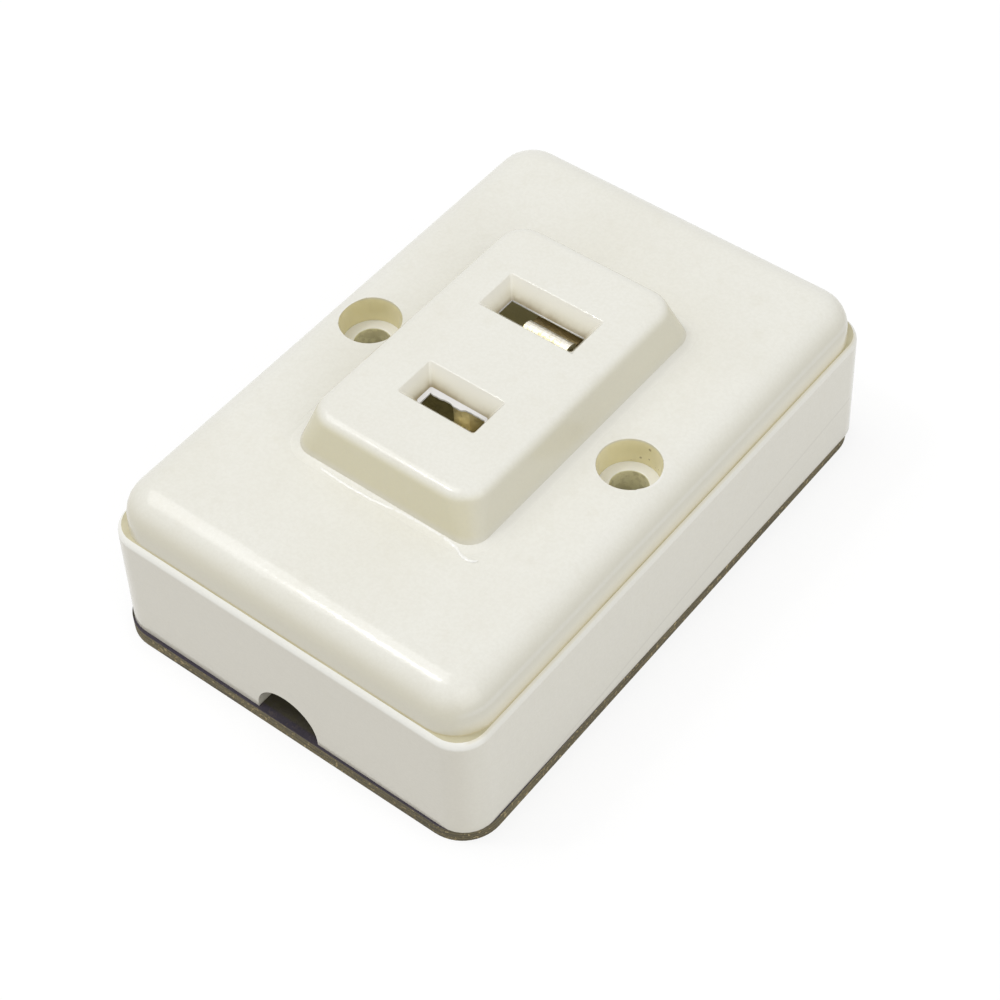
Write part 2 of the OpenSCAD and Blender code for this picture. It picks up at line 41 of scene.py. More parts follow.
# Heights of the part, in mm, as the CAD has them
BLOCK_Z = 27.75        # top of the pin block
NECK_Z = 25.72         # lower end of the slot funnels
ROOF_Z = 25.5          # ceiling of the hollow under the block
PANEL_Z = 22.45        # top of the raised panel
HEAD_Z = 18.6          # floors of the counterbores
SHOULDER_Z = 16.9      # rim of the box round the panel
PLATE_T = 1.8          # back plate
# Places and sizes in plan, in mm
HOLE_X, HEAD_R, HOLE_R = 17.82, 3.57, 2.15
WIDE_Y, NARROW_Y = 8.06, -7.36
WIDE_MOUTH, NARROW_MOUTH = (6.6, 3.1), (5.4, 2.95)
BLOCK_C, BLOCK_H = (-0.17, 0.24), (12.45, 19.6)
FOOT_Y = BLOCK_C[1] - BLOCK_H[1]
APRON_R, APRON_W = 6.614, 1.6
SILL_W = 0.60
# Limits of the hollow inside the cover, in mm
HOLLOW_X, HOLLOW_Y, HOLLOW_CORNER = 23.2, 35.2, 53
HOLLOW_Z = PANEL_Z - 1.98      # only the block is hollow above this
DRAWN_IN, DRAWN_PER_MM = 1.43, 0.285
# What the scene changes, in mm
FLOOR_LIFT = 0.35      # the counterbores' floors lie this much higher than in the solid
LIP_Z, LIP_BLEND = 23.3, 0.5
LIP_Y, LIP_MORE = 7.66, 0.24
FLOOR_DROP = 0.05      # floor under the back plate, so that the two faces don't lie in one plane


# Camera
def make_camera():
    """The photograph's camera, fitted to the edges of the part."""
    data = bpy.data.cameras.new("camera")
    data.sensor_width = 36
    data.lens = 85.53
    data.clip_start, data.clip_end = 0.01, 20
    cam = bpy.data.objects.new("camera", data)
    scene.collection.objects.link(cam)
    right = Vector((0.78610324, 0.61740217, -0.02926196))
    up = Vector((-0.45536597, 0.61050467, 0.64801688))
    back = Vector((0.41795159, -0.49608327, 0.76106363))
    turn = Matrix((right, up, back)).transposed().to_4x4()
    cam.matrix_world = Matrix.Translation((0.113054, -0.134395, 0.210131)) @ turn
    scene.camera = cam


make_camera()


# Node helpers
class Graph:
    """A short way to write a material's node tree."""

    def __init__(self, name):
        self.mat = bpy.data.materials.new(name)
        self.mat.use_nodes = True
        self.tree = self.mat.node_tree
        self.tree.nodes.clear()
        self.out = self.tree.nodes.new("ShaderNodeOutputMaterial")
        self.coord = self.tree.nodes.new("ShaderNodeTexCoord").outputs["Object"]

    def put(self, socket, value):
        """Links another socket, or sets a plain value."""
        if isinstance(value, bpy.types.NodeSocket):
            self.tree.links.new(value, socket)
        else:
            socket.default_value = value

    def node(self, kind, **values):
        n = self.tree.nodes.new(kind)
        for key, value in values.items():
            setattr(n, key, value)
        return n

    def math(self, op, a, b=0.0, c=None):
        n = self.node("ShaderNodeMath", operation=op)
        self.put(n.inputs[0], a)
        self.put(n.inputs[1], b)
        if c is not None:
            self.put(n.inputs[2], c)
        return n.outputs[0]

    def mul(self, first, *others):
        """The product of two or more values."""
        for other in others:
            first = self.math("MULTIPLY", first, other)
        return first

    def off(self, value, middle):
        """How far a value is from the middle."""
        return self.math("ABSOLUTE", self.math("SUBTRACT", value, middle))

    def split(self, vector):
        n = self.node("ShaderNodeSeparateXYZ")
        self.put(n.inputs[0], vector)
        return n.outputs[0], n.outputs[1], n.outputs[2]

    def noise(self, scale, detail=3.0, rough=0.5, move=(0, 0, 0)):
        place = self.node("ShaderNodeMapping")
        self.put(place.inputs["Vector"], self.coord)
        place.inputs["Scale"].default_value = scale if isinstance(scale, tuple) else (scale,) * 3
        place.inputs["Location"].default_value = move
        n = self.node("ShaderNodeTexNoise")
        self.put(n.inputs["Vector"], place.outputs[0])
        n.inputs["Scale"].default_value = 1.0
        n.inputs["Detail"].default_value = detail
        n.inputs["Roughness"].default_value = rough
        n.inputs["Distortion"].default_value = 0.0
        return n.outputs["Fac"]

    def ramp(self, value, a, b, low=0.0, high=1.0, smooth=True):
        n = self.node("ShaderNodeMapRange", clamp=True)
        n.interpolation_type = "SMOOTHSTEP" if smooth else "LINEAR"
        self.put(n.inputs["Value"], value)
        for key, v in (("From Min", a), ("From Max", b), ("To Min", low), ("To Max", high)):
            n.inputs[key].default_value = v
        return n.outputs["Result"]

    def ramp_mm(self, value, a, b, low=0.0, high=1.0, smooth=True):
        """A ramp between two places in mm."""
        return self.ramp(value, a * MM, b * MM, low, high, smooth)

    def mix(self, fac, a, b):
        """Colour a where the factor is 0, and colour b where it is 1."""
        n = self.node("ShaderNodeMix", data_type="RGBA", blend_type="MIX")
        self.put(n.inputs[0], fac)
        for socket, value in ((n.inputs[6], a), (n.inputs[7], b)):
            self.put(socket, (*value, 1) if isinstance(value, tuple) else value)
        return n.outputs[2]

    def bump(self, height, strength, distance, under=None):
        n = self.node("ShaderNodeBump")
        n.inputs["Strength"].default_value = strength
        n.inputs["Distance"].default_value = distance
        self.put(n.inputs["Height"], height)
        if under is not None:
            self.put(n.inputs["Normal"], under)
        return n.outputs[0]

    def spots(self, places, size):
        """1 inside small round spots at the places, in mm, and 0 outside them."""
        total = None
        for place, scale in places:
            n = self.node("ShaderNodeVectorMath", operation="DISTANCE")
            self.put(n.inputs[0], self.coord)
            self.put(n.inputs[1], tuple(v * MM for v in place))
            one = self.ramp_mm(n.outputs["Value"], size * scale, size * scale / 2)
            total = one if total is None else self.math("MAXIMUM", total, one)
        return total

    def finish(self, color, rough, normal, **plain):
        p = self.node("ShaderNodeBsdfPrincipled")
        self.put(p.inputs["Base Color"], color)
        self.put(p.inputs["Roughness"], rough)
        self.put(p.inputs["Normal"], normal)
        for key, value in plain.items():
            p.inputs[key.replace("_", " ")].default_value = value
        self.tree.links.new(p.outputs[0], self.out.inputs["Surface"])
        return self.mat


# Materials
class Moulding(Graph):
    """The cream moulding's colour, with painted light and shade, laid on part by part."""

    def __init__(self, name):
        super().__init__(name)
        self.x, self.y, self.z = self.split(self.coord)
        self.across = self.math("ABSOLUTE", self.x)
        normal = self.node("ShaderNodeNewGeometry").outputs["Normal"]
        self.face_x, self.face_y, self.face_z = self.split(normal)
        self.up = self.ramp(self.face_z, 0.35, 0.97)
        self.right = self.ramp(self.face_x, 0.50, 0.95)
        self.wall = self.ramp(self.face_z, 0.8, 0.5)
        self.outer = self.math("MAXIMUM", self.ramp_mm(self.across, 22.4, 22.9),
                               self.ramp_mm(self.math("ABSOLUTE", self.y), 34.4, 34.9))
        self.cloud = self.noise(60.0, 4.0, 0.55)
        self.mottle = self.noise(420.0, 5.0, 0.6, (3.1, 1.7, 0.4))
        self.fine = self.noise(2600.0, 3.0, 0.6)
        self.patchy = self.ramp(self.noise(150.0, 4.0, 0.6, (7.0, 3.0, 2.0)), 0.3, 0.7, 0.35, 1.0)

    def tones(self):
        """Painted light and shade: paler on faces that look up, darker and yellower on the sides,
        and lighter on the right-facing sides.
        """
        z, right, up = self.z, self.right, self.up
        # Painted shade: wall, panel and block sides get darker, yellower tones than the top, the
        # block's the most, and the right-facing ones lighter.
        wall_tone = self.mix(right, (0.752, 0.722, 0.630), (0.780, 0.757, 0.668))
        panel_tone = self.mix(right, (0.725, 0.693, 0.567), (0.785, 0.757, 0.630))
        block_tone = self.mix(right, (0.710, 0.668, 0.485), (0.765, 0.728, 0.548))
        side = self.mix(self.ramp_mm(z, SHOULDER_Z - 0.5, SHOULDER_Z + 0.5), wall_tone, panel_tone)
        side = self.mix(self.ramp_mm(z, PANEL_Z + 0.3, PANEL_Z + 1.2), side, block_tone)
        # Painted shade on the right side of the panel, above the groove.
        band = self.mul(right, self.ramp_mm(z, SHOULDER_Z + 1.2, SHOULDER_Z + 2.6))
        side = self.mix(self.mul(band, 0.6), side, (0.700, 0.680, 0.590))
        # Two faint lines along the right side: a painted highlight line on the panel, and a dark
        # line low on the wall
        line = self.mul(right, self.ramp_mm(self.off(z, (SHOULDER_Z + 2.9) * MM), 0.45, 0.02))
        side = self.mix(self.mul(line, 0.40), side, (0.86, 0.85, 0.79))
        sloping = self.math("MULTIPLY_ADD", self.y, 0.10, 4.6 * MM)
        low_line = self.mul(right, self.ramp_mm(self.off(z, sloping), 0.30, 0.02))
        side = self.mix(self.mul(low_line, 0.22), side, (0.50, 0.47, 0.40))
        # Painted light: faces that look up take the paler top tone.
        base = self.mix(up, side, (0.882, 0.872, 0.800))
        cloudy = self.mul(up, self.ramp(self.cloud, 0.35, 0.7, 0.0, 0.4))
        base = self.mix(cloudy, base, (0.820, 0.800, 0.708))
        base = self.mix(self.ramp(self.mottle, 0.5, 0.8, 0.0, 0.18), base, (0.74, 0.705, 0.585))
        return self.mix(self.ramp(self.fine, 0.35, 0.65, 0.0, 0.10), base, (0.62, 0.59, 0.49))

    def slot_tones(self, base):
        """The funnels of the slots: painted shade makes them yellower lower down; they are darker
        and browner in patches towards the bottom; and the land under them is painted pale as lit.
        """
        z = self.z
        slots = None
        for middle, (reach_x, reach_y) in ((WIDE_Y, WIDE_MOUTH), (NARROW_Y, NARROW_MOUTH)):
            along = self.off(self.y, middle * MM)
            one = self.mul(self.ramp_mm(along, reach_y + 0.1, reach_y - 0.1),
                           self.ramp_mm(self.across, reach_x + 0.1, reach_x - 0.1))
            slots = one if slots is None else self.math("MAXIMUM", slots, one)
        # Painted shade: the funnel walls start a little darker than the top and turn yellower with
        # depth.
        mouth = self.mul(slots, self.ramp_mm(z, BLOCK_Z - 0.01, BLOCK_Z - 0.12))
        base = self.mix(mouth, base, (0.850, 0.828, 0.740))
        slots = self.mul(slots, self.ramp_mm(z, BLOCK_Z - 0.1, NECK_Z - 0.2, smooth=False))
        base = self.mix(self.mul(slots, 0.9), base, (0.850, 0.815, 0.660))
        # Darker and browner in patches towards the bottom of the funnels.
        over_neck = self.ramp_mm(z, NECK_Z - 0.05, NECK_Z + 0.03)
        stain = self.ramp(self.noise(330.0, 4.0, 0.6, (4.0, 2.0, 7.0)), 0.30, 0.70, 0.45, 1.0)
        soft = self.mul(slots, self.ramp_mm(z, NECK_Z + 1.50, NECK_Z - 0.1), over_neck, stain)
        base = self.mix(soft, base, (0.34, 0.27, 0.135))
        brown = self.mul(slots, self.ramp_mm(z, NECK_Z + 0.50, NECK_Z + 0.02), over_neck, 0.5)
        base = self.mix(brown, base, (0.20, 0.145, 0.07))
        # Painted light: the land under the funnels is painted pale and cool.
        land = self.mul(slots, self.ramp_mm(z, NECK_Z + 0.04, NECK_Z - 0.01))
        return self.mix(land, base, (0.92, 0.92, 0.94))

    def hole_tones(self, base):
        """The counterbores and bores: painted shade gives their walls the olive tone, painted light
        makes the bores and the counterbore floors paler, and grime with painted shade lies at the
        bottom.
        """
        aside = self.math("SUBTRACT", self.across, HOLE_X * MM)
        ring = self.math("SQRT", self.math("ADD", self.math("POWER", aside, 2.0),
                                           self.math("POWER", self.y, 2.0)))
        # Painted shade: the counterbore walls are olive.
        holes = self.mul(self.ramp_mm(ring, 3.85, 3.65),
                         self.ramp_mm(self.z, PANEL_Z - 0.02, PANEL_Z - 0.45))
        base = self.mix(self.mul(holes, self.wall, 0.9), base, (0.860, 0.790, 0.490))
        # Painted light: the bores are paler.
        bore_painted_light = self.mul(self.ramp_mm(ring, 2.6, 2.4), self.wall)
        base = self.mix(bore_painted_light, base, (0.98, 0.955, 0.74))
        # Painted light: the counterbore floors are paler.
        ledge = self.mul(holes, self.ramp(self.face_z, 0.5, 0.9))
        base = self.mix(ledge, base, (0.955, 0.950, 0.920))
        # Grime and painted shade low on the counterbore walls, in patches.
        grime = self.ramp(self.noise(900.0, 4.0, 0.6, (2.0, 6.0, 1.0)), 0.38, 0.62)
        hole_bottom_grime_and_shade = self.mul(holes, self.wall, self.ramp_mm(self.z, HEAD_Z + 0.7, HEAD_Z + 0.02))
        base = self.mix(self.mul(hole_bottom_grime_and_shade, self.ramp(grime, 0.0, 1.0, 0.1, 0.40)), base,
                        (0.40, 0.35, 0.22))
        marks = self.spots((((17.93, 3.55, 21.5), 1.0), ((16.85, 3.42, 19.75), 0.9),
                            ((17.9, 3.55, 20.0), 0.7), ((18.9, 3.40, 19.5), 0.6),
                            ((19.4, 3.18, 19.7), 0.6), ((15.9, 2.97, 19.2), 0.5),
                            ((-15.2, 2.4, 19.8), 0.8)), 0.24)
        return self.mix(self.mul(marks, 0.75), base, (0.36, 0.29, 0.17))

    def rim_tones(self, base):
        """The rim of the shoulder is painted pale as a highlight, most on the front, and dirt with
        painted shade lies in the groove above it, broader and tan on the right side.
        """
        z, outer = self.z, self.outer
        # Painted highlight: the rim is paler, most where it faces the front.
        rim = self.mul(self.ramp_mm(z, SHOULDER_Z - 1.05, SHOULDER_Z - 0.55),
                       self.ramp_mm(z, SHOULDER_Z + 0.03, SHOULDER_Z - 0.02), outer)
        front = self.ramp(self.face_y, 0.1, -0.35, 0.50, 0.92)
        base = self.mix(self.mul(rim, front), base, (0.955, 0.948, 0.888))
        # Dirt and painted shade on the top of the rim on the right side.
        right_rim_dirt_and_shade = self.mul(rim, self.ramp_mm(self.x, 23.4, 23.9),
                          self.ramp_mm(z, SHOULDER_Z - 0.30, SHOULDER_Z - 0.05), 0.6)
        base = self.mix(right_rim_dirt_and_shade, base, (0.80, 0.74, 0.56))
        # Dirt and painted shade in the groove, fainter on left-facing faces.
        over_rim = self.ramp_mm(z, SHOULDER_Z - 0.02, SHOULDER_Z + 0.01)
        groove = self.mul(over_rim, self.ramp_mm(z, SHOULDER_Z + 0.38, SHOULDER_Z + 0.05), outer,
                          self.ramp(self.face_x, -0.7, -0.1, 0.45, 1.0), self.patchy, 0.75)
        base = self.mix(groove, base, (0.66, 0.575, 0.33))
        # Painted shade rising above the groove on the right side.
        right_groove_shade = self.mul(self.right, over_rim,
                               self.ramp_mm(z, SHOULDER_Z + 2.0, SHOULDER_Z + 0.1), outer, 0.60)
        return self.mix(right_groove_shade, base, (0.70, 0.625, 0.41))

    def painted_light_beside_block(self, base):
        """Painted light: the panel is paler close to the block's right foot, where the block's
        shadow falls.
        """
        beside = self.mul(self.ramp_mm(self.x, 14.8, 12.6), self.ramp_mm(self.x, 11.0, 12.3),
                          self.ramp_mm(self.math("ABSOLUTE", self.y), 19.5, 15.0),
                          self.ramp_mm(self.z, PANEL_Z + 0.6, PANEL_Z + 0.2), self.up, 0.7)
        return self.mix(beside, base, (0.915, 0.905, 0.840))

    def foot_tones(self, base):
        """Darker in patches low on the walls, just above the back plate."""
        foot = self.mul(self.ramp_mm(self.z, 2.6, 1.8), self.patchy, 0.25)
        return self.mix(foot, base, (0.42, 0.37, 0.28))

    def specks(self, base):
        """A few thin specks of grime."""
        dots = self.node("ShaderNodeTexVoronoi", feature="F1")
        self.put(dots.inputs["Vector"], self.coord)
        dots.inputs["Scale"].default_value = 150.0
        pick = self.noise(90.0, 2.0, 0.5, (9.0, 2.0, 5.0))
        speck = self.mul(self.ramp(dots.outputs["Distance"], 0.030, 0.012),
                         self.ramp(pick, 0.54, 0.60), 0.5)
        return self.mix(speck, base, (0.30, 0.25, 0.18))

    def apron_roughness(self):
        """Glossy all over but for a duller ring round the block's foot."""
        rough = self.ramp(self.mottle, 0.3, 0.75, 0.13, 0.20)
        apron = self.mul(self.ramp_mm(self.z, PANEL_Z + 0.004, PANEL_Z + 0.03),
                         self.ramp_mm(self.z, PANEL_Z + 0.45, PANEL_Z + 0.25))
        worn = self.ramp(self.noise((700.0, 1500.0, 700.0), 3.0, 0.6, (5.0, 8.0, 3.0)),
                         0.48, 0.62, 0.28, 0.42)
        return self.math("MAXIMUM", rough, self.mul(apron, worn))


def cream_plastic(name="cream_plastic", bead=False):
    """The moulding's outside, or the bead in front of the block's foot, whose paler tint is a
    painted highlight.
    """
    g = Moulding(name)
    base = g.tones()
    for lay_on in (g.slot_tones, g.hole_tones, g.rim_tones, g.painted_light_beside_block, g.foot_tones,
                   g.specks):
        base = lay_on(base)
    if bead:
        # Painted highlight: the bead is tinted paler.
        base = g.mix(0.75, base, (0.95, 0.945, 0.91))
        rough = g.ramp(g.fine, 0.3, 0.7, 0.16, 0.26)
    else:
        rough = g.apron_roughness()
    normal = g.bump(g.cloud, 0.22, 0.0006)
    normal = g.bump(g.mottle, 0.22, 0.00018, normal)
    normal = g.bump(g.fine, 0.08, 0.00004, normal)
    return g.finish(base, rough, normal, Specular_IOR_Level=0.5, IOR=1.5)


def cream_inside_painted_shade_and_glow():
    """The hollow side of the moulding: painted shade makes it darker olive, and a faint painted
    glow stands in for the light that its thin walls let through.
    """
    g = Graph("cream_inside_painted_shade_and_glow")
    cloud = g.noise(200.0, 4.0, 0.6)
    fine = g.noise(2200.0, 3.0, 0.6)
    base = g.mix(g.ramp(cloud, 0.35, 0.7), (0.62, 0.58, 0.42), (0.50, 0.46, 0.30))
    return g.finish(base, g.ramp(fine, 0.3, 0.7, 0.4, 0.6), g.bump(fine, 0.15, 0.00006),
                    Emission_Color=(1.0, 0.90, 0.45, 1.0), Emission_Strength=0.045)


def layered_fibre():
    """Pressed fibre with gold specks at its edge, a painted shadow along the top of the edge, and
    painted light in patches on the face inside the cover, paler towards +y.
    """
    g = Graph("layered_fibre")
    x, y, z = g.split(g.coord)
    layers = g.noise((90.0, 90.0, 5200.0), 4.0, 0.6)
    streak = g.noise((300.0, 300.0, 2600.0), 3.0, 0.65, (4.0, 1.0, 2.0))
    grit = g.noise(1800.0, 4.0, 0.7)
    base = g.mix(g.ramp(layers, 0.36, 0.60), (0.082, 0.070, 0.042), (0.165, 0.138, 0.074))
    base = g.mix(g.ramp(streak, 0.52, 0.66, 0.0, 0.5), base, (0.26, 0.205, 0.105))
    base = g.mix(g.ramp(grit, 0.56, 0.64, 0.0, 0.75), base, (0.55, 0.44, 0.24))
    # Painted shadow: a dark purple band along the top of the edge.
    top = g.ramp_mm(z, PLATE_T - 0.18, PLATE_T - 0.02)
    base = g.mix(g.mul(top, 0.9), base, (0.040, 0.034, 0.058))
    # Painted light: the face inside the cover is paler towards +y, in patches.
    inner = g.mul(g.ramp_mm(g.math("ABSOLUTE", x), 24.6, 24.2),
                  g.ramp_mm(g.math("ABSOLUTE", y), 36.6, 36.2))
    light_patches = g.ramp(g.noise(1300.0, 3.0, 0.6, (3.0, 9.0, 4.0)), 0.35, 0.65, 0.75, 1.0)
    pale = g.mix(g.ramp_mm(y, -30, -8), (0.062, 0.056, 0.034), (0.66, 0.63, 0.50))
    base = g.mix(g.mul(inner, top, light_patches), base, pale)
    normal = g.bump(layers, 0.6, 0.0002)
    normal = g.bump(grit, 0.6, 0.00012, normal)
    return g.finish(base, g.ramp(grit, 0.3, 0.7, 0.62, 0.85), normal, Specular_IOR_Level=0.35)


def brass(name, tint, dull, roughness, metallic=0.9, highlight_from_y=None):
    """Tarnished brass. Where the last argument gives a line in y, in mm, the brass beyond it
    carries a pale painted highlight.
    """
    g = Graph(name)
    stain = g.noise(260.0, 5.0, 0.62, (1.0, 7.0, 3.0))
    patch = g.noise(1500.0, 3.0, 0.6, (5.0, 3.0, 8.0))
    drawn = g.noise((5200.0, 5200.0, 420.0), 2.0, 0.6)
    base = g.mix(g.ramp(stain, 0.45, 0.68), tint, dull)
    base = g.mix(g.ramp(patch, 0.58, 0.75, 0.0, 0.4), base, (0.30, 0.23, 0.11))
    if highlight_from_y is not None:
        ragged = g.noise((2600.0, 900.0, 900.0), 3.0, 0.7, (2.0, 5.0, 1.0))
        edge = g.math("ADD", g.split(g.coord)[1],
                      g.ramp(ragged, 0.35, 0.65, -0.25 * MM, 0.25 * MM))
        # Painted highlight: pale brass beyond the line.
        painted_highlight = g.ramp_mm(edge, highlight_from_y - 0.10, highlight_from_y + 0.15)
        grain = g.ramp(g.noise((3400.0, 2400.0, 2400.0), 3.0, 0.7, (6.0, 1.0, 4.0)), 0.44, 0.60)
        base = g.mix(g.mul(grain, 0.55), base, (0.62, 0.47, 0.19))
        base = g.mix(g.mul(painted_highlight, g.ramp(grain, 0.0, 1.0, 1.0, 0.72)), base,
                     (0.985, 0.965, 0.910))
    rough = g.math("ADD", g.ramp(stain, 0.4, 0.7, roughness, roughness + 0.12),
                   g.ramp(drawn, 0.3, 0.7, -0.04, 0.06))
    normal = g.bump(drawn, 0.25, 0.00003)
    normal = g.bump(patch, 0.55, 0.00015, normal)
    return g.finish(base, rough, normal, Metallic=metallic)


def steel():
    """Plated steel with faint stains and turning marks."""
    g = Graph("plated_steel")
    stain = g.noise(500.0, 4.0, 0.6)
    turned = g.noise((900.0, 9000.0, 900.0), 2.0, 0.6)
    base = g.mix(g.ramp(stain, 0.48, 0.72), (0.66, 0.65, 0.62), (0.40, 0.35, 0.27))
    rough = g.ramp(stain, 0.4, 0.75, 0.28, 0.5)
    return g.finish(base, rough, g.bump(turned, 0.3, 0.00003), Metallic=1.0)


PLASTIC = cream_plastic()
FIBRE = layered_fibre()
CONTACT = brass("contact_brass", (0.95, 0.87, 0.58), (0.84, 0.74, 0.45), 0.42, 0.75)
# The lip's pale part is a painted highlight.
LIP = brass("contact_lip_painted_highlight", (0.95, 0.87, 0.58), (0.84, 0.74, 0.45), 0.34, 0.85, highlight_from_y=7.30)
BEAD = cream_plastic("cream_bead_painted_highlight", bead=True)
# Painted shade: a darker copy of the brass for the wide jaw.
CONTACT_PAINTED_SHADE = brass("contact_brass_painted_shade", (0.36, 0.28, 0.14), (0.24, 0.18, 0.09), 0.45)
INSIDE = cream_inside_painted_shade_and_glow()
SCREW = brass("screw_brass", (0.72, 0.55, 0.27), (0.44, 0.33, 0.15), 0.30)
STEEL = steel()
# The order of the cover's three materials on its mesh
COVER_MATERIALS = (PLASTIC, INSIDE, BEAD)
INSIDE_INDEX, BEAD_INDEX = 1, 2


# The moulded cover
def near(v, w, tol=0.03):
    return abs(v - w) < tol


def edge_angle(e):
    """The angle between an edge's two faces, and 0 at a border."""
    return e.calc_face_angle(0.0) if len(e.link_faces) == 2 else 0.0


def edges_where(bm, test):
    """The edges whose two ends, in mm, pass the test."""
    return [e for e in bm.edges if test(*(v.co / MM for v in e.verts))]


def from_post(p):
    """How far a point, in mm, is from the axis of the nearer wall screw."""
    return math.hypot(abs(p.x) - HOLE_X, p.y)


def is_inner(p, normal):
    """True for a face in the hollow of the cover."""
    if from_post(p) < HOLE_R + 0.1 or (p.z > HEAD_Z - 0.1 and from_post(p) < HEAD_R + 0.3):
        return False
    if abs(p.x) > HOLLOW_X or abs(p.y) > HOLLOW_Y:
        return False
    # The round corners of the walls lie inside those limits, so their direction decides
    if abs(p.x) + abs(p.y) > HOLLOW_CORNER and normal.x * p.x + normal.y * p.y > 0:
        return False
    if p.z < HOLLOW_Z:
        return p.z > PLATE_T + 0.05
    drawn = DRAWN_IN + DRAWN_PER_MM * (p.z - PANEL_Z + 2) - 0.1
    if abs(p.x) > BLOCK_H[0] - drawn or abs(p.y) > BLOCK_H[1] - drawn or normal.z > 0.5:
        return False
    return p.z < ROOF_Z - 0.02 or (p.z < ROOF_Z + 0.01 and normal.z < -0.9)


def wavy_sill(bm):
    """Gives the thin sill of the narrow slot the uneven inner edge of a moulded flash."""
    path = [(-5.5, -0.14), (-2.4, -0.12), (-1.0, 0.05), (-0.1, -0.13), (0.7, -0.12),
            (1.4, 0.22), (3.0, 0.24), (5.5, 0.20)]
    found = edges_where(bm, lambda a, b: near(a.y, b.y, 0.01) and near(a.y, NARROW_Y + SILL_W)
                        and abs(a.x - b.x) > 5 and near(a.z, b.z, 0.01)
                        and ROOF_Z - 0.05 < a.z < NECK_Z + 0.05)
    made = bmesh.ops.subdivide_edges(bm, edges=found, cuts=30)
    for v in {g for g in made["geom_inner"] if isinstance(g, bmesh.types.BMVert)}:
        x = v.co.x / MM
        for (x0, s0), (x1, s1) in zip(path, path[1:]):
            if x0 <= x < x1:
                t = (x - x0) / (x1 - x0)
                ease = t * t * (3 - 2 * t)
                v.co.y += (s0 + (s1 - s0) * ease + 0.02 * math.sin(7.0 * x)) * MM


def apron_z(out):
    """Height of the hollow round the block's foot, at a distance outside the foot, in mm."""
    rise = min(max(APRON_W - out, 0.0), APRON_W)
    return PANEL_Z + APRON_R - math.sqrt(APRON_R ** 2 - rise ** 2)


def flow_mark(bm):
    """A fine uneven bead that the mould left in front of the block's foot."""
    # Places along x, and distances outside the foot
    path = [(-8.0, 0.50), (-7.4, 0.54), (-6.9, 0.57), (-5.2, 0.66), (-3.6, 0.71), (-2.2, 0.66),
            (-0.8, 0.65), (0.9, 0.45), (2.7, 0.28), (4.6, 0.20), (6.5, 0.18), (8.3, 0.20),
            (9.6, 0.26), (10.5, 0.45), (11.1, 0.78), (11.6, 0.93), (12.3, 0.95), (12.9, 0.80),
            (13.3, 0.50)]
    faint_from, faint_to = 0.5, 10.2
    cuts, steps, taper = 6, 6, 5
    points = []
    for (x0, o0), (x1, o1) in zip(path, path[1:]):
        for i in range(cuts):
            t = i / cuts
            points.append((x0 + (x1 - x0) * t, o0 + (o1 - o0) * t))
    rows = []
    for i, (x, out) in enumerate(points):
        rough = noise.noise(Vector((x * 2.1, 3.0, 1.0)))
        rough += 0.6 * noise.noise(Vector((x * 6.0, 7.0, 2.0)))
        half = 0.18 + 0.06 * rough
        # It shows left of the middle and round the near corner, and is faint between them
        shown = 1.0
        if faint_from <= x <= faint_to:
            shown = max(0.25, 1.0 - 0.6 * min(x - faint_from, faint_to - x))
        ends = min(i, len(points) - 1 - i) / taper
        tall = max(0.050 + 0.050 * rough, 0.010) * shown * min(ends, 1.0)
        y = FOOT_Y - out - 0.05 * rough
        row = []
        for k in range(steps + 1):
            u = -1 + 2 * k / steps
            lift = tall * (1 - u * u) - 0.004
            yy = y + u * half
            row.append(bm.verts.new((x * MM, yy * MM, (apron_z(FOOT_Y - yy) + lift) * MM)))
        rows.append(row)
    for a, b in zip(rows, rows[1:]):
        for k in range(steps):
            bm.faces.new((a[k], b[k], b[k + 1], a[k + 1])).material_index = BEAD_INDEX


def break_edges(bm):
    """Rounds the sharp edges of the slot mouths, the counterbores and their bores."""
    ledge = HEAD_Z + FLOOR_LIFT
    groups = [
        (0.14, lambda a, b: near(a.z, BLOCK_Z) and near(b.z, BLOCK_Z)),
        (0.10, lambda a, b: near(a.z, PANEL_Z) and near(b.z, PANEL_Z)
            and max(from_post(a), from_post(b)) < HEAD_R + 0.4),
        (0.15, lambda a, b: near(a.z, ledge) and near(b.z, ledge)
            and max(from_post(a), from_post(b)) < HOLE_R + 0.2),
    ]
    for width, test in groups:
        edges = [e for e in edges_where(bm, test) if edge_angle(e) > math.radians(28)]
        bmesh.ops.bevel(
            bm, geom=edges, offset=width * MM, offset_type="OFFSET", segments=3,
            profile=0.5, affect="EDGES", clamp_overlap=False, loop_slide=True,
        )


def smooth_by_angle(piece, degrees):
    """Marks the edges sharper than the angle, so that the rest shades smooth."""
    bm = bmesh.new()
    bm.from_mesh(piece.data)
    for e in bm.edges:
        e.smooth = edge_angle(e) < math.radians(degrees)
    for f in bm.faces:
        f.smooth = True
    bm.to_mesh(piece.data)
    bm.free()


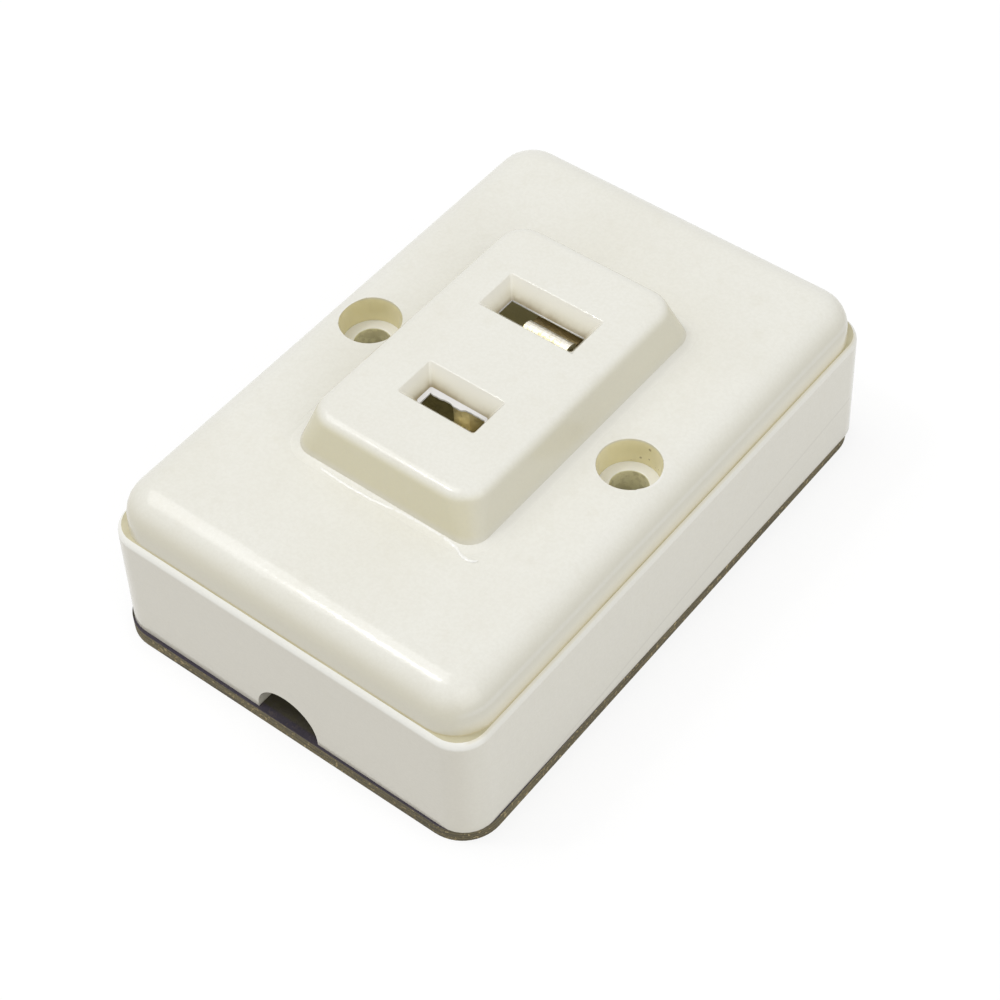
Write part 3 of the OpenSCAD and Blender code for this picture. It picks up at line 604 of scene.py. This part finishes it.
def cover_piece():
    """The cover from its CAD mesh, with the fine forms that the scene adds."""
    bm = bmesh.new()
    bm.from_mesh(nodes["cover"].data)
    bmesh.ops.remove_doubles(bm, verts=bm.verts, dist=0.002 * MM)
    bmesh.ops.dissolve_limit(
        bm, angle_limit=math.radians(0.4), verts=bm.verts, edges=bm.edges,
        use_dissolve_boundaries=False,
    )
    for v in bm.verts:
        if near(v.co.z / MM, HEAD_Z) and from_post(v.co / MM) < HEAD_R:
            v.co.z += FLOOR_LIFT * MM
    wavy_sill(bm)
    break_edges(bm)
    for f in bm.faces:
        if is_inner(f.calc_center_median() / MM, f.normal):
            f.material_index = INSIDE_INDEX
    flow_mark(bm)
    me = bpy.data.meshes.new("cover_moulding")
    bm.to_mesh(me)
    bm.free()
    for material in COVER_MATERIALS:
        me.materials.append(material)
    piece = bpy.data.objects.new("cover_moulding", me)
    scene.collection.objects.link(piece)
    smooth_by_angle(piece, 32)
    weigh = piece.modifiers.new("weigh", "WEIGHTED_NORMAL")
    weigh.keep_sharp = True
    weigh.weight = 60
    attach(piece, "root")
    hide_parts("cover")


cover_piece()


# The other nodes
def wide_lip():
    """The wide contact's leaf with its lip rolled a little broader, as it shows in the slot."""
    me = nodes["wide_leaf"].data.copy()
    for v in me.vertices:
        if v.co.z > LIP_Z * MM:
            part = min((v.co.z / MM - LIP_Z) / LIP_BLEND, 1.0)
            v.co.y = (LIP_Y + (v.co.y / MM - LIP_Y) * (1 + LIP_MORE * part)) * MM
    me.materials.clear()
    me.materials.append(LIP)
    piece = bpy.data.objects.new("wide_lip", me)
    scene.collection.objects.link(piece)
    smooth_by_angle(piece, 35)
    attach(piece, "root")
    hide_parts("wide_leaf")


wide_lip()
PAINTED = [
    (FIBRE, ("back_plate",)),
    (CONTACT, ("narrow_jaw", "narrow_leaf")),
    (CONTACT_PAINTED_SHADE, ("wide_jaw",)),
    (SCREW, ("wide_fixing_screw", "narrow_fixing_screw",
             "wide_terminal_screw", "narrow_terminal_screw")),
    (STEEL, ("wide_clamp_washer", "narrow_clamp_washer", "plate_screw_far", "plate_screw_near")),
]
for material, names in PAINTED:
    for name in names:
        slots = nodes[name].data.materials
        slots.clear()
        slots.append(material)


# Floor, world and lamps
def white_rays(tree):
    """1 for the rays that see the plain white studio, and 0 for those that light the object."""
    path = tree.nodes.new("ShaderNodeLightPath").outputs
    total = path["Is Camera Ray"]
    for kind in ("Is Glossy Ray", "Is Transmission Ray"):
        add = tree.nodes.new("ShaderNodeMath")
        add.operation, add.use_clamp = "ADD", True
        tree.links.new(total, add.inputs[0])
        tree.links.new(path[kind], add.inputs[1])
        total = add.outputs[0]
    return total


def blended(tree, share, first, second):
    """The first shader where the share is 0, and the second where it is 1."""
    mix = tree.nodes.new("ShaderNodeMixShader")
    for socket, value in zip(mix.inputs, (share, first, second)):
        tree.links.new(value, socket)
    return mix.outputs[0]


def make_floor():
    """White paper, which is clear when seen from below."""
    me = bpy.data.meshes.new("floor")
    s, z = 3.0, -FLOOR_DROP * MM
    me.from_pydata([(-s, -s, z), (s, -s, z), (s, s, z), (-s, s, z)], [], [(0, 1, 2, 3)])
    floor = bpy.data.objects.new("floor", me)
    scene.collection.objects.link(floor)
    g = Graph("floor_white")
    paper = g.noise(40.0, 3.0)
    plain = g.node("ShaderNodeBsdfDiffuse")
    g.put(plain.inputs["Color"],
          g.mix(g.ramp(paper, 0.3, 0.7), (0.74, 0.74, 0.74), (0.72, 0.72, 0.715)))
    # Seen directly or mirrored, the paper is white and keeps a soft shadow
    pale = g.node("ShaderNodeBsdfDiffuse")
    pale.inputs["Color"].default_value = (0.22, 0.22, 0.22, 1)
    white = g.node("ShaderNodeEmission")
    white.inputs["Strength"].default_value = 0.81
    both = g.node("ShaderNodeAddShader")
    g.put(both.inputs[0], pale.outputs[0])
    g.put(both.inputs[1], white.outputs[0])
    paper_side = blended(g.tree, white_rays(g.tree), plain.outputs[0], both.outputs[0])
    clear = g.node("ShaderNodeBsdfTransparent")
    under = g.node("ShaderNodeNewGeometry").outputs["Backfacing"]
    g.put(g.out.inputs["Surface"], blended(g.tree, under, paper_side, clear.outputs[0]))
    me.materials.append(g.mat)


def make_world(strength):
    """Grey light on the object before a plain white background."""
    world = bpy.data.worlds.new("studio")
    scene.world = world
    world.use_nodes = True
    tree = world.node_tree
    tree.nodes.clear()
    skies = []
    for level in (strength, 1.0):
        sky = tree.nodes.new("ShaderNodeBackground")
        sky.inputs["Color"].default_value = (1, 1, 1, 1)
        sky.inputs["Strength"].default_value = level
        skies.append(sky.outputs[0])
    out = tree.nodes.new("ShaderNodeOutputWorld")
    tree.links.new(blended(tree, white_rays(tree), *skies), out.inputs["Surface"])


def lamp(name, place, size, energy):
    """A square area lamp that looks at the middle of the part."""
    data = bpy.data.lights.new(name, "AREA")
    data.shape = "RECTANGLE"
    data.size, data.size_y = size, size
    data.energy = energy
    o = bpy.data.objects.new(name, data)
    scene.collection.objects.link(o)
    o.location = place
    o.rotation_mode = "QUATERNION"
    o.rotation_quaternion = (Vector((0, 0, 0.02)) - Vector(place)).to_track_quat("-Z", "Y")


make_floor()
make_world(0.60)
lamp("key", (-0.36, -0.12, 0.72), 0.50, 1.62)
lamp("glint", (-0.306, -0.224, 0.706), 0.06, 0.38)
lamp("fill", (0.75, -0.20, 0.55), 0.9, 2.1)

scene.view_settings.view_transform = "Standard"
